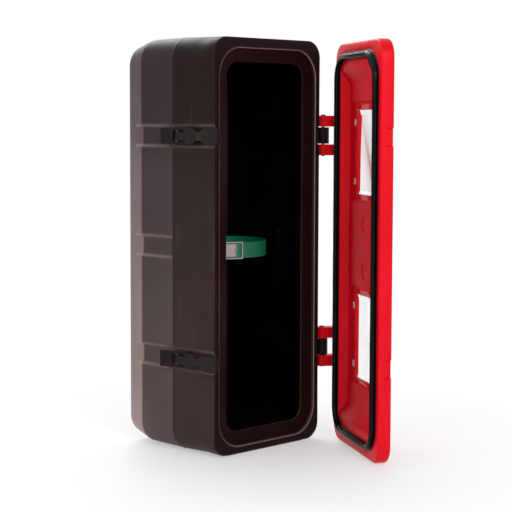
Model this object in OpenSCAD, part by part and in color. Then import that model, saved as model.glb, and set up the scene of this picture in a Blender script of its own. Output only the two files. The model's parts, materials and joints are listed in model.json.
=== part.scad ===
// Wall cabinet for safety equipment: blow-moulded plastic body with a hinged door,
// two draw latches, two clear windows and an inner retaining band.
// Millimetres. X to the right seen from the front, Y to the back, Z up.
// The origin is the middle of the base, on the surface that the cabinet stands on.

/* [Body] */
// Width over the moulding's widest line
body_w = 302; // [260:1:360]
// Height over the moulding's widest line
body_h = 806; // [700:1:950]
// Depth from front rim to back
body_d = 254; // [220:1:320]
// Radius of the long edges
corner_r = 36; // [30:1:50]
// Thickness of the moulded walls
wall = 4.5; // [3:0.1:6]
// Distance of the mould parting line behind the front
parting_from_front = 113; // [100:1:130]
// Draft of the front half, how far each side closes in at the front
front_draft = 2.2; // [0.5:0.1:4]
// Draft of the rear half, how far each side closes in where the rear facet starts
rear_draft = 1.9; // [0.5:0.1:4]
// Depth of the facet round the back edges
facet_d = 50; // [30:1:60]
// How far the facet closes in at the back
facet_inset = 14; // [8:0.5:18]
// Bevel round the front edge of the body
front_bevel = 1.5; // [0.5:0.1:2.5]
// Width of the flat standing face moulded under the base
foot_w = 212; // [160:1:226]
// Distance of the standing face behind the front
foot_back = 6; // [3:1:20]

/* [Front rim] */
// Width of the flat outer band of the rim
band_w = 16.5; // [14:0.5:20]
// Depth of the step inside the band
land_step = 6; // [4:0.5:7]
// Width of the bevel at the step
step_bevel = 2; // [1:0.5:3]
// Width of the whole rim, from the side to the opening
rim_w = 45; // [40:1:52]
// Depth of the sloping land at the opening
land_depth = 10; // [9:0.5:12]
// Depth of the rim at the opening
rim_depth = 14; // [12.5:0.5:18]
// Corner radius of the opening
opening_r = 28; // [20:1:34]

/* [Side channels] */
// Height of a channel at its mouth
channel_h = 46; // [42:1:56]
// Height of a channel at its floor
channel_floor_h = 32; // [31:1:36]
// Depth of the channels
channel_depth = 8; // [6.5:0.5:9]
// Corner radius of a channel at its mouth
channel_r = 20; // [16:1:21]
// Distance of the upper hinge and latch line below the top
upper_line_down = 190; // [160:1:240]
// Height of the lower hinge and latch line
lower_line = 185; // [150:1:240]

/* [Door] */
// How far the door is open at rest, in degrees
door_open = 57.5; // [0:0.5:130]
// Thickness of the door's rim
door_t = 26; // [24:0.5:32]
// Gap between the closed door and the cabinet's front
door_gap = 4; // [3:0.5:5]
// How far the door's edge stays inside the cabinet's outline at the sides and the bottom
door_margin = 2.5; // [1:0.5:5]
// Distance from the cabinet's top down to the door's top
door_top_margin = 8.5; // [2:0.5:12]
// Edge radius of the door's rim
door_edge_r = 5; // [2:0.5:8]
// Width of the door's flange at its sides
flange_w = 36; // [35:1:42]
// Width of the door's flange at top and bottom
flange_h = 47; // [44:1:56]
// Depth of the pan inside the flange
pan_depth = 21.5; // [18:0.5:22]
// How far the pan's walls lean in at the sides
pan_lean = 6; // [3:0.5:10]
// Length of the pan's sloping ends
pan_slope = 34; // [20:1:44]
// Corner radius of the pan
pan_r = 22; // [14:1:30]
// Height of the raised fields above and below the windows
field_h = 3.5; // [2:0.5:5]
// Distance of the raised fields from the pan's sides
field_side = 6; // [3:0.5:20]
// How far the sides of a raised field lean in
field_lean = 2; // [0:0.5:4]
// Corner radius of a raised field
field_r = 8; // [4:1:12]
// Height of the latch notches in the door's free edge
notch_h = 34; // [33:1:40]
// How far a notch cuts into the free edge
notch_depth = 8; // [7:0.5:9]
// Distance from the flange face to the notch's ledge
ledge_from_flange = 12; // [9:0.5:13]
// How far the hinge arms stay inside the rim's two faces
arm_margin = 6; // [4:0.5:8]
// How far the hinge arms reach into the rim
arm_root = 10; // [6:1:20]

/* [Windows] */
// Height of a window bay, between two raised fields
bay_h = 194; // [188:1:210]
// Width of a pane's flange
pane_w = 134; // [110:1:150]
// Height of a pane's flange
pane_h = 186; // [150:1:187]
// Width of the ledge that a pane's flange lies on
pane_ledge = 9; // [6:0.5:14]
// Clearance round a pane in its opening
pane_gap = 0.3; // [0.3:0.1:0.6]
// Thickness of a pane's flange
pane_t = 2.5; // [2:0.1:3]
// Corner radius of a pane's flange
pane_r = 8; // [4:1:12]
// Corner radius of a window opening
window_r = 6; // [3:1:8]
// How far a pane's front stays behind the door's face
pane_back = 2; // [1:0.5:4]
// Bevel round a pane's front
pane_bevel = 1.5; // [0.5:0.1:2]
// Thickness of a pane's sheet at its front
pane_sheet = 2; // [1.5:0.1:2.5]
// Wall left round the hollow in a pane's back
pane_wall = 2.5; // [2:0.1:4]
// How far the hollow's sides lean in
pane_lean = 6; // [2:0.5:10]
// Distance from the pan floor's upper end to the upper window bay
upper_window_down = 34.5; // [24:0.5:50]
// Distance from the pan floor's lower end to the lower window bay
lower_window_up = 42.5; // [24:0.5:50]
// Width of a pane clip
clip_w = 9; // [8:0.5:12]
// Height of a pane clip
clip_h = 12; // [8:1:20]
// Thickness of a pane clip
clip_t = 1.6; // [1.2:0.1:2.5]
// How far a clip reaches over the pane's flange
clip_seat = 4; // [3:0.5:5]
// Distance between the clips of one side, as a share of the bay's height
clip_share = 0.6; // [0.4:0.05:0.8]
// Diameter of the two round dimples between the windows
dimple_d = 32; // [20:1:40]
// Depth of a dimple
dimple_depth = 2; // [1:0.5:4]
// Distance between the dimples
dimple_spacing = 90; // [60:1:110]

/* [Seal] */
// Distance from the door's edge to the middle of the seal
seal_inset = 24; // [20:0.5:26]
// Width of the seal's foot
seal_w = 14; // [12:0.5:15]
// Thickness of the seal's foot
seal_foot = 2; // [1.5:0.5:3]
// Height of the seal above its foot's underside
seal_h = 11; // [10.6:0.1:11.2]
// Radius of the seal's hollow bulb
bulb_r = 5.2; // [4.4:0.1:5.2]
// Wall thickness of the bulb
bulb_wall = 1.6; // [1.2:0.1:2]
// Width of the groove in the door's flange that the seal lies in
groove_w = 18; // [16:0.5:20]
// Depth of the groove
groove_depth = 1.2; // [1:0.1:2]
// Gap under the seal's foot
seal_seat = 0.1; // [0.05:0.05:0.3]

/* [Hinges] */
// Distance of the hinge axis outside the cabinet's side
axis_out = 23; // [20:0.5:28]
// Distance of the hinge axis behind the front
axis_back = 14; // [14:0.5:20]
// Diameter of the hinge pins
pin_d = 6; // [5:0.5:8]
// Radial clearance of the pins in their bores
pin_fit = 0.08; // [0.05:0.01:0.1]
// Radius of the knuckles
knuckle_r = 12; // [9:0.5:12.5]
// Height of the cabinet's knuckle
knuckle_h = 33; // [28:1:38]
// Height of each of the door's knuckles
ear_h = 22; // [16:1:26]
// Gap between knuckles
knuckle_gap = 1.5; // [0.5:0.1:2]
// Height of the hinge bracket's plate
hinge_plate_h = 26; // [20:1:29]
// Length of the hinge bracket's plate
hinge_plate_l = 54; // [44:1:70]
// Thickness of the hinge bracket's plate
hinge_plate_t = 4; // [3:0.5:5]
// Length of the slope from the bracket's plate to its knuckle
bracket_slope = 12; // [8:1:20]
// Half the thickness of the bracket's web at the knuckle
web_half = 2; // [1.5:0.5:4]
// Distance of the bracket's plate behind the hinge axis
plate_back = 4; // [3:0.5:8]
// Extra diameter of a hinge pin's head
head_extra = 4; // [2:0.5:6]
// Thickness of a hinge pin's head
head_t = 2; // [1:0.5:4]
// How far a hinge pin stands out below
pin_out = 2; // [1:0.5:4]

/* [Latches] */
// Distance of a lever's pivot behind the front
lever_axis_back = 75; // [68:1:90]
// Distance of a lever's pivot above the channel's floor
lever_axis_up = 6; // [5.5:0.5:8]
// Distance between the lever's pivot and the link's pivot
throw = 20; // [16:0.5:22]
// How far the link's pivot lies outside the lever's pivot
over_centre = 4; // [3.8:0.1:4.6]
// Length of a lever behind its pivot
lever_l = 58; // [52:1:66]
// Height of a lever
lever_h = 31; // [30:0.5:32]
// Thickness of a lever's plate
lever_t = 5; // [4:0.5:5.5]
// Distance of a lever's plate outside its pivot
lever_out = 1; // [0.5:0.1:1.2]
// Radius of a lever's eyes, and how far its plate reaches in front of the pivot
lever_eye_r = 3.5; // [3.2:0.1:3.8]
// Length of a lever's slot for the link's tongue, behind the pivot
slot_l = 30; // [27:1:36]
// Depth of the finger grip under a lever's end
grip_depth = 2; // [1:0.2:2.6]
// Length of the finger grip
grip_l = 14; // [8:1:18]
// Thickness of a link's plate
link_t = 3.5; // [3:0.1:4]
// Height of a link's wide parts
link_h = 30; // [26:0.5:31]
// Height of a link's waist
waist_h = 16; // [14:0.5:20]
// Height of a link's tongue
tongue_h = 15; // [12:0.5:15.5]
// Length of the link's wide part behind the waist
shoulder_l = 19; // [12:1:24]
// Length of each slope down to the waist
waist_slope = 16; // [8:1:19]
// Length of the waist
waist_l = 6; // [3:1:12]
// Radius of the link's eye
link_eye_r = 3; // [2.6:0.1:3.2]
// How far the hook reaches in from the link's plate
hook_reach = 7.8; // [6.5:0.1:9]
// Width of the hook at a link's end
hook_w = 4.5; // [3:0.5:6]
// Clearance between a closed hook and the door's ledge
hook_gap = 1; // [0.5:0.1:2]
// Diameter of the lever pins
lever_pin_d = 4; // [3:0.1:4.2]
// Diameter of the link pins
link_pin_d = 3; // [2.5:0.1:3.5]
// Side clearance between a latch's pieces
latch_gap = 0.4; // [0.3:0.1:0.6]
// Thickness of the latch base and its lugs
base_t = 2.5; // [2:0.1:2.6]
// Length of the latch base in front of the lever's pivot
base_front = 12; // [8:1:20]
// Length of the latch base behind the lever's pivot
base_back = 52; // [40:1:60]
// Radius of the base's lugs
lug_r = 3.6; // [3.2:0.1:4]
// Diameter of the two rivets that hold the base
rivet_d = 6; // [4:0.5:8]
// Height of a rivet's head
rivet_h = 1.2; // [0.6:0.1:1.5]
// How far the upper lever is lifted at rest, in degrees
upper_lift = 10; // [9:1:20]
// How far the lower lever is lifted at rest, in degrees
lower_lift = 14; // [9:1:24]
// Degrees that a link swings out for each degree of its lever
swing_ratio = 0.3; // [0.25:0.05:0.4]

/* [Retaining band] */
// Inner diameter of the band
band_d = 182; // [150:1:190]
// Height of the band
band_h = 31; // [20:1:40]
// Thickness of the band
band_t = 2.4; // [2:0.1:4]
// Height of the band's middle above the base
band_z = 392; // [380:1:410]
// Distance of the band in front of the inner back wall
band_off_wall = 20; // [16:1:22]
// Width of the band's wall bracket
bracket_w = 70; // [50:1:90]
// Height of the band's wall bracket
bracket_h = 60; // [44:1:80]
// Thickness of the band's wall bracket
bracket_t = 3; // [2:0.5:4]
// Distance of the bracket's arms from its edges
arm_inset = 10; // [6:1:16]
// Length of the bracket's arms in front of the band's rearmost line
arm_reach = 12; // [6:1:18]
// Direction in which the buckle lies, in degrees from the right
buckle_angle = 243; // [230:1:260]
// Length of the buckle's frame along the band
buckle_l = 36; // [30:1:44]
// Height of the buckle's frame
buckle_h = 34; // [32:1:44]
// Width of the frame's bars
buckle_bar = 2.4; // [2:0.1:4]
// Thickness of the buckle
buckle_t = 2; // [1.5:0.5:3]
// Length of the buckle's plate
buckle_plate_l = 22; // [16:1:26]
// Height of the buckle's plate
buckle_plate_h = 25; // [18:1:28]
// Length of the tongue that stands out from the plate
buckle_tongue_l = 4; // [2:0.5:8]
// Height of the tongue
buckle_tongue_h = 12; // [8:1:18]

/* [Wall fixing] */
// Diameter of the four fixing holes
fixing_d = 8.5; // [6:0.5:10]
// Distance between fixing holes across
fixing_w = 150; // [120:1:170]
// Distance between fixing holes up and down
fixing_h = 500; // [400:1:560]
// Diameter of the bosses round the fixing holes
boss_d = 28; // [22:1:34]
// Height of the bosses inside the back wall
boss_h = 4; // [2:0.5:6]

/* [Hidden] */
$fn = 64;
// Overshoot of cuts through a face
cut = 1;
// Gap between fixed pieces of different bodies
fixed_gap = 0.3;
front_y = -body_d / 2;
back_y = body_d / 2;
parting_y = front_y + parting_from_front;
facet_y = back_y - facet_d;
side_x = body_w / 2;
mid_z = body_h / 2;
upper_line = body_h - upper_line_down;
middle_line = (upper_line + lower_line) / 2;

// Outline of the moulding: depth along Y, and how far every side lies inside the widest line.
shell_steps = [[front_y, front_draft + front_bevel], [front_y + front_bevel, front_draft],
               [parting_y, 0], [facet_y, rear_draft], [back_y, facet_inset]];
facet_lean = (facet_inset - rear_draft) / facet_d;

// Sweeps a profile round an upright rectangle with round corners. In the profile X is the
// distance outwards from the corner's centre, and Y the depth. fill closes the middle.
module sweep(w, h, r, fill = []) {
    x = w / 2 - r;
    z = h / 2 - r;
    for (c = [[1, -1, 0], [-1, -1, 90], [-1, 1, 180], [1, 1, 270]])
        translate([c[0] * x, 0, c[1] * z]) rotate([-90, 0, 0]) rotate([0, 0, c[2]])
            rotate_extrude(angle = 90) children();
    for (s = [0, 1]) mirror([s, 0, 0])
        translate([x, 0, -z]) linear_extrude(2 * z) children();
    for (s = [0, 1]) mirror([0, 0, s])
        translate([-x, 0, z]) rotate([0, -90, 0]) mirror([0, 0, 1]) linear_extrude(2 * x) children();
    if (len(fill) == 2)
        translate([-x, fill[0], -z]) cube([2 * x, fill[1] - fill[0], 2 * z]);
}

// A block whose sides lean in step by step: steps are pairs of depth and inset.
module drafted_block(w, h, r, steps) {
    n = len(steps) - 1;
    sweep(w, h, r, [steps[0][0], steps[n][0]])
        polygon(concat([[0, steps[0][0]]], [for (s = steps) [r - s[1], s[0]]], [[0, steps[n][0]]]));
}

// Profile of the door's rim: a bar of thickness t, out to r, with both outer edges rounded.
module rim_profile(r, t, e) {
    translate([0, e]) square([r, t - 2 * e]);
    square([r - e, t]);
    for (y = [e, t - e]) translate([r - e, y]) circle(e);
}

// One channel's shape on the left side, from the front out through the facet at the back.
// It is pushed in by grow for the inner face of the wall.
channel_lean = (channel_h - channel_floor_h) / 2 / channel_depth;
channel_out = 6;
module channel(z, grow) {
    l = body_d + 2 * channel_h + 2 * grow;
    h = channel_h + 2 * grow;
    floor_depth = channel_depth + grow;
    translate([-side_x, 0, z]) rotate([0, 0, -90])
        drafted_block(l, h, channel_r + grow,
                      [[-channel_out, -channel_out * channel_lean],
                       [floor_depth, floor_depth * channel_lean]]);
}

// Both sides carry the same channels; the middle one starts square at the parting line.
module channels(grow) {
    for (s = [0, 1]) mirror([s, 0, 0]) {
        for (z = [upper_line, lower_line]) channel(z, grow);
        intersection() {
            channel(middle_line, grow);
            translate([-body_w, parting_y - grow, 0]) cube([body_w, body_d, body_h]);
        }
    }
}

opening_w = body_w - 2 * rim_w;
opening_h = body_h - 2 * rim_w;
land_r = opening_r + rim_w - band_w;

module fixing_holes(d, from_y, to_y) {
    for (sx = [-1, 1], sz = [-1, 1])
        translate([sx * fixing_w / 2, from_y, mid_z + sz * fixing_h / 2])
            rotate([-90, 0, 0]) cylinder(d = d, h = to_y - from_y);
}

module cabinet_shell() color("#332d2e") difference() {
    union() {
        difference() {
            translate([0, 0, mid_z]) drafted_block(body_w, body_h, corner_r, shell_steps);
            channels(0);
            difference() {
                translate([0, 0, mid_z]) drafted_block(body_w, body_h, corner_r,
                    [[front_y + rim_depth, front_draft + wall], [parting_y, wall],
                     [facet_y, rear_draft + wall],
                     [back_y - wall, facet_inset + wall - wall * facet_lean]]);
                channels(wall);
                fixing_holes(boss_d, back_y - wall - boss_h, back_y);
            }
        }
        translate([-foot_w / 2, front_y + foot_back, 0])
            cube([foot_w, body_d - facet_d - foot_back, wall]);
    }
    // The stepped land and the opening inside the front band
    translate([0, 0, mid_z]) drafted_block(body_w - 2 * band_w, body_h - 2 * band_w, land_r,
        [[front_y - cut, 0], [front_y, 0], [front_y + land_step, step_bevel],
         [front_y + land_depth, rim_w - band_w]]);
    translate([0, 0, mid_z]) drafted_block(opening_w, opening_h, opening_r,
        [[front_y, 0], [front_y + rim_depth + cut, 0]]);
    fixing_holes(fixing_d, back_y - wall - boss_h - cut, back_y + cut);
}

hinge = [side_x + axis_out, front_y + axis_back, 0];

// Turns the closed door, and what it carries, to its resting angle.
module on_door() {
    translate(hinge) rotate([0, 0, door_open]) translate(-hinge) children();
}

door_w = body_w - 2 * door_margin;
door_h = body_h - door_margin - door_top_margin;
door_z = door_margin + door_h / 2;
flange_y = front_y - door_gap;
face_y = flange_y - door_t;
pan_y = flange_y - pan_depth;
pan_w = door_w - 2 * flange_w;
pan_h = door_h - 2 * flange_h;
window_w = pane_w - 2 * pane_ledge;
window_h = pane_h - 2 * pane_ledge;
pan_floor_h = pan_h - 2 * pan_slope;
upper_window_z = door_z + pan_floor_h / 2 - upper_window_down - bay_h / 2;
lower_window_z = door_z - pan_floor_h / 2 + lower_window_up + bay_h / 2;

// A raised field on the pan's floor, from one height to another.
module raised_field(from_z, to_z)
    translate([0, 0, (from_z + to_z) / 2])
        drafted_block(pan_w - 2 * pan_lean - 2 * field_side, to_z - from_z, field_r,
                      [[pan_y - cut, 0], [pan_y, 0], [pan_y + field_h, field_lean]]);

// The two knuckles of one hinge, on arms that wrap round from the door's edge.
module door_ears(z) {
    for (s = [-1, 1]) {
        low = z + s * (knuckle_h / 2 + knuckle_gap + ear_h / 2) - ear_h / 2;
        translate([hinge[0], hinge[1], low]) cylinder(r = knuckle_r, h = ear_h);
        translate([door_w / 2 - arm_root, face_y + arm_margin, low])
            cube([hinge[0] + knuckle_r - door_w / 2 + arm_root, door_t - 2 * arm_margin, ear_h]);
        translate([hinge[0] - knuckle_r, face_y + arm_margin, low])
            cube([2 * knuckle_r, hinge[1] - face_y - arm_margin, ear_h]);
    }
}

module door_shell() color("#c8101c") on_door() difference() {
    union() {
        difference() {
            translate([0, face_y, door_z]) sweep(door_w, door_h, corner_r, [0, door_t])
                rim_profile(corner_r, door_t, door_edge_r);
            translate([0, 0, door_z]) drafted_block(pan_w, pan_h, pan_r,
                [[pan_y, pan_lean], [flange_y, 0], [flange_y + cut, 0]]);
        }
        // Raised fields between and beyond the windows; the outer two run into the pan's ends
        raised_field(lower_window_z + bay_h / 2, upper_window_z - bay_h / 2);
        raised_field(upper_window_z + bay_h / 2, door_z + pan_floor_h / 2 + pan_slope / 2);
        raised_field(door_z - pan_floor_h / 2 - pan_slope / 2, lower_window_z - bay_h / 2);
        // Sloping ends of the pan
        for (s = [0, 1]) translate([0, 0, door_z]) mirror([0, 0, s])
            translate([-pan_w / 2, 0, pan_h / 2]) rotate([90, 0, 90]) linear_extrude(pan_w)
                polygon([[pan_y - cut, -pan_slope], [pan_y, -pan_slope], [flange_y, 0],
                         [flange_y, pan_r / 4], [pan_y - cut, pan_r / 4]]);
        for (z = [upper_line, lower_line]) door_ears(z);
    }
    translate([0, 0, door_z]) seal_path()
        translate([-groove_w / 2, -groove_depth]) square([groove_w, groove_depth + cut]);
    for (z = [upper_window_z, lower_window_z]) translate([0, 0, z])
        drafted_block(window_w, window_h, window_r, [[face_y - cut, 0], [pan_y + cut, 0]]);
    for (s = [-1, 1])
        translate([0, pan_y + field_h - dimple_depth, door_z + s * dimple_spacing / 2])
            rotate([-90, 0, 0]) cylinder(d = dimple_d, h = dimple_depth + cut);
    for (z = [upper_line, lower_line]) {
        translate([-door_w / 2 - cut, face_y - cut, z - notch_h / 2])
            cube([notch_depth + cut, door_t - ledge_from_flange + cut, notch_h]);
        translate([hinge[0], hinge[1], z - knuckle_h - ear_h])
            cylinder(d = pin_d + 2 * pin_fit, h = 2 * (knuckle_h + ear_h));
    }
}

// Carries a profile along the seal's line, whose corners curve like the land's. In the
// profile X is the distance outwards from the line, and Y the height above the flange.
seal_r = land_r + band_w - door_margin - seal_inset;
module seal_path()
    translate([0, flange_y, 0])
        sweep(door_w - 2 * seal_inset, door_h - 2 * seal_inset, seal_r)
            translate([seal_r, 0]) children();

bulb_y = seal_h - bulb_r;
stem_half = bulb_r - bulb_wall;
module door_seal() color("#0c0b0c") on_door()
    translate([0, seal_seat - groove_depth, door_z]) seal_path() difference() {
        union() {
            translate([-seal_w / 2, 0]) square([seal_w, seal_foot]);
            translate([0, bulb_y]) circle(bulb_r);
            translate([-stem_half, 0]) square([2 * stem_half, bulb_y]);
        }
        translate([0, bulb_y]) circle(bulb_r - bulb_wall);
    }

// A clear pane: a flange on the pan's floor, and a body that fills the opening and is
// hollow behind, with sloping sides.
module window_pane(z) color("#dfe8ea") on_door() translate([0, 0, z]) {
    front = face_y + pane_back;
    back = pan_y + pane_t;
    difference() {
        union() {
            drafted_block(pane_w, pane_h, pane_r, [[pan_y + fixed_gap, 0], [back, 0]]);
            drafted_block(window_w - 2 * pane_gap, window_h - 2 * pane_gap, window_r,
                          [[front, pane_bevel], [front + pane_bevel, 0], [back, 0]]);
        }
        drafted_block(window_w - 2 * pane_wall, window_h - 2 * pane_wall, window_r + pane_lean,
                      [[front + pane_sheet, pane_lean], [back, 0], [back + cut, 0]]);
    }
}
module upper_window_pane() window_pane(upper_window_z);
module lower_window_pane() window_pane(lower_window_z);

// Four small clips that stand on the pan's floor and reach over the pane's flange
module window_clips(z) color("#b9b4b4") on_door()
    for (sx = [0, 1], sz = [-1, 1]) translate([0, 0, z + sz * bay_h * clip_share / 2])
        mirror([sx, 0, 0]) translate([pane_w / 2, pan_y, -clip_h / 2]) {
            translate([fixed_gap, 0, 0])
                cube([clip_w - clip_seat - fixed_gap, pane_t + fixed_gap + clip_t, clip_h]);
            translate([-clip_seat, pane_t + fixed_gap, 0]) cube([clip_w, clip_t, clip_h]);
        }
module upper_window_clips() window_clips(upper_window_z);
module lower_window_clips() window_clips(lower_window_z);

floor_x = side_x - channel_depth;
module hinge_bracket(z) color("#1f1a1b") difference() {
    union() {
        translate([0, 0, z - hinge_plate_h / 2]) linear_extrude(hinge_plate_h)
            polygon([[floor_x, hinge[1] + plate_back], [floor_x, hinge[1] + hinge_plate_l],
                     [floor_x + hinge_plate_t, hinge[1] + hinge_plate_l],
                     [floor_x + hinge_plate_t, hinge[1] + knuckle_r + bracket_slope],
                     [hinge[0] + web_half, hinge[1] + knuckle_r - web_half],
                     [hinge[0] + web_half, hinge[1] - web_half],
                     [hinge[0] - knuckle_r, hinge[1] + web_half],
                     [side_x, hinge[1] + plate_back]]);
        translate([hinge[0], hinge[1], z - knuckle_h / 2]) cylinder(r = knuckle_r, h = knuckle_h);
    }
    translate([hinge[0], hinge[1], z - knuckle_h]) cylinder(d = pin_d + 2 * pin_fit, h = 2 * knuckle_h);
}
module upper_hinge_bracket() hinge_bracket(upper_line);
module lower_hinge_bracket() hinge_bracket(lower_line);

pin_l = knuckle_h + 2 * knuckle_gap + 2 * ear_h;
module hinge_pin(z) color("#9a9a9c") translate([hinge[0], hinge[1], z]) {
    translate([0, 0, -pin_l / 2 - pin_out]) cylinder(d = pin_d, h = pin_out + pin_l + fixed_gap);
    translate([0, 0, pin_l / 2 + fixed_gap]) cylinder(d = pin_d + head_extra, h = head_t);
}
module upper_hinge_pin() hinge_pin(upper_line);
module lower_hinge_pin() hinge_pin(lower_line);

// Latches on the left side. Each is drawn closed, from its lever pivot, with the lever
// pointing to the back, and is then turned to its resting angles.
lever_axis = [-floor_x - lever_axis_up, front_y + lever_axis_back];
link_axis = [-over_centre, throw];
lug_inner = tongue_h / 2 + latch_gap;
lug_outer = lug_inner + base_t;
arm_inner = lug_outer + latch_gap;
tongue_l = throw + lever_eye_r + 2 * latch_gap;
eye_t = lever_h / 2 - arm_inner;
hook_y = flange_y - ledge_from_flange - hook_gap;
link_l = lever_axis[1] + throw - hook_y + hook_w;

module at_latch(z) translate([lever_axis[0], lever_axis[1], z]) children();
module on_lever(z, lift) at_latch(z) rotate([0, 0, lift]) children();
module on_link(z, lift) on_lever(z, lift) translate(link_axis)
    rotate([0, 0, -lift * (1 + swing_ratio)]) children();

module latch_base(z) color("#2a2425") at_latch(z) difference() {
    union() {
        translate([lever_axis_up - base_t, -base_front, -lug_outer])
            cube([base_t, base_front + base_back, 2 * lug_outer]);
        for (s = [-1, 1]) translate([0, 0, s * (lug_inner + base_t / 2) - base_t / 2]) {
            cylinder(r = lug_r, h = base_t);
            translate([0, -lug_r, 0]) cube([lever_axis_up, 2 * lug_r, base_t]);
        }
        for (y = [-base_front + rivet_d, base_back - rivet_d])
            translate([lever_axis_up - base_t, y, 0]) rotate([0, -90, 0]) cylinder(d = rivet_d, h = rivet_h);
    }
    translate([0, 0, -lever_h]) cylinder(d = lever_pin_d + 2 * pin_fit, h = 2 * lever_h);
}
module upper_latch_base() latch_base(upper_line);
module lower_latch_base() latch_base(lower_line);

module lever_pin(z) color("#8d8d8f") at_latch(z)
    translate([0, 0, -lever_h / 2]) cylinder(d = lever_pin_d, h = lever_h);
module upper_lever_pin() lever_pin(upper_line);
module lower_lever_pin() lever_pin(lower_line);

module latch_lever(z, lift) color("#2b2526") on_lever(z, lift) difference() {
    union() {
        translate([-lever_out - lever_t, -lever_eye_r, -lever_h / 2])
            cube([lever_t, lever_l + lever_eye_r, lever_h]);
        for (s = [-1, 1]) translate([0, 0, s * (lever_h + 2 * arm_inner) / 4 - eye_t / 2]) {
            cylinder(r = lever_eye_r, h = eye_t);
            translate([-lever_out, -lever_eye_r, 0]) cube([lever_out, 2 * lever_eye_r, eye_t]);
        }
    }
    translate([-lever_out - lever_t - cut, -lever_eye_r - cut, -arm_inner])
        cube([lever_t + 2 * cut, lever_eye_r + cut + slot_l, 2 * arm_inner]);
    translate([-lever_out - grip_depth, lever_l - grip_l, -lever_h])
        rotate([0, 0, -atan(grip_depth / grip_l)])
            translate([grip_depth, 0, 0]) cube([grip_depth, 2 * grip_l, 2 * lever_h]);
    translate([0, 0, -lever_h]) cylinder(d = lever_pin_d + 2 * pin_fit, h = 2 * lever_h);
    translate([link_axis[0], link_axis[1], -lever_h])
        cylinder(d = link_pin_d + 2 * pin_fit, h = 2 * lever_h);
}
module upper_latch_lever() latch_lever(upper_line, upper_lift);
module lower_latch_lever() latch_lever(lower_line, lower_lift);

module link_pin(z, lift) color("#8d8d8f") on_lever(z, lift)
    translate([link_axis[0], link_axis[1], -lever_h / 2]) cylinder(d = link_pin_d, h = lever_h);
module upper_link_pin() link_pin(upper_line, upper_lift);
module lower_link_pin() link_pin(lower_line, lower_lift);

// Outline of the link's plate seen from the side: wide, waisted, wide. X runs from the eye.
// Half a cosine wave leads into the waist and out of it.
shoulder_x = tongue_l + shoulder_l;
waist_x = shoulder_x + waist_slope;
wave_steps = 8;
function wave(t) = link_h / 2 - (link_h - waist_h) / 4 * (1 - cos(180 * t));
module link_outline() {
    half = concat([[tongue_l - link_t, tongue_h / 2], [tongue_l, tongue_h / 2],
                   [tongue_l, link_h / 2]],
                  [for (i = [0:wave_steps]) [shoulder_x + waist_slope * i / wave_steps,
                                             wave(i / wave_steps)]],
                  [for (i = [0:wave_steps]) [waist_x + waist_l + waist_slope * i / wave_steps,
                                             wave(1 - i / wave_steps)]],
                  [[link_l, link_h / 2]]);
    n = len(half);
    polygon(concat(half, [for (i = [1:n]) [half[n - i][0], -half[n - i][1]]]));
}

module latch_link(z, lift) color("#2e2829") on_link(z, lift) difference() {
    union() {
        cylinder(r = link_eye_r, h = tongue_h, center = true);
        translate([-link_t / 2, -tongue_l, -tongue_h / 2]) cube([link_t, tongue_l, tongue_h]);
        rotate([0, 0, -90]) rotate([90, 0, 0]) translate([0, 0, -link_t / 2])
            linear_extrude(link_t) link_outline();
        translate([0, -link_l, -link_h / 2]) cube([hook_reach, hook_w, link_h]);
    }
    translate([0, 0, -lever_h]) cylinder(d = link_pin_d + 2 * pin_fit, h = 2 * lever_h);
}
module upper_latch_link() latch_link(upper_line, upper_lift);
module lower_latch_link() latch_link(lower_line, lower_lift);

inner_back_y = back_y - wall;
band_out_r = band_d / 2 + band_t;
band_y = inner_back_y - band_off_wall - band_out_r;
module at_band() translate([0, band_y, band_z]) children();

// A plate on the back wall with two arms whose ends follow the band.
module band_bracket() color("#7d7d80") {
    translate([-bracket_w / 2, inner_back_y - bracket_t, band_z - bracket_h / 2])
        cube([bracket_w, bracket_t, bracket_h]);
    difference() {
        for (s = [-1, 1])
            translate([s * (bracket_w / 2 - arm_inset) - bracket_t / 2,
                       band_y + band_out_r - arm_reach, band_z - band_h / 2])
                cube([bracket_t, arm_reach + band_off_wall, band_h]);
        at_band() cylinder(r = band_out_r + fixed_gap, h = 2 * band_h, center = true);
    }
}

module retaining_band() color("#1f7a4c") at_band() difference() {
    cylinder(r = band_out_r, h = band_h, center = true);
    cylinder(d = band_d, h = band_h + 2 * cut, center = true);
}

// The buckle: a frame of thin bars, a plate inside its one end, and the plate's tongue
module band_buckle() color("#a9a6a2") at_band() rotate([0, 0, buckle_angle])
    translate([band_out_r + fixed_gap, -buckle_l / 2, 0]) {
        difference() {
            translate([0, 0, -buckle_h / 2]) cube([buckle_t, buckle_l, buckle_h]);
            translate([-cut, buckle_bar, buckle_bar - buckle_h / 2])
                cube([buckle_t + 2 * cut, buckle_l - 2 * buckle_bar, buckle_h - 2 * buckle_bar]);
        }
        translate([0, 0, -buckle_plate_h / 2]) cube([buckle_t, buckle_plate_l, buckle_plate_h]);
        translate([0, buckle_plate_l - buckle_t, -buckle_tongue_h / 2])
            cube([buckle_tongue_l, buckle_t, buckle_tongue_h]);
    }

cabinet_shell();
door_shell();
door_seal();
upper_window_pane();
lower_window_pane();
upper_window_clips();
lower_window_clips();
upper_hinge_bracket();
lower_hinge_bracket();
upper_hinge_pin();
lower_hinge_pin();
upper_latch_base();
lower_latch_base();
upper_lever_pin();
lower_lever_pin();
upper_latch_lever();
lower_latch_lever();
upper_link_pin();
lower_link_pin();
upper_latch_link();
lower_latch_link();
band_bracket();
retaining_band();
band_buckle();
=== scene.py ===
# %% [markdown]
# A wall cabinet for safety equipment, dressed for a photograph.
# The engineering model gives exact solids. Here the moulded shells, the rubber seal and the
# small fittings become surfaces with soft edges, and every finish becomes a procedural material.

# %% Load the frame
import json
import math

import bmesh
import bpy
import numpy as np
from mathutils import Matrix, Vector
from mathutils.geometry import tessellate_polygon


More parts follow.
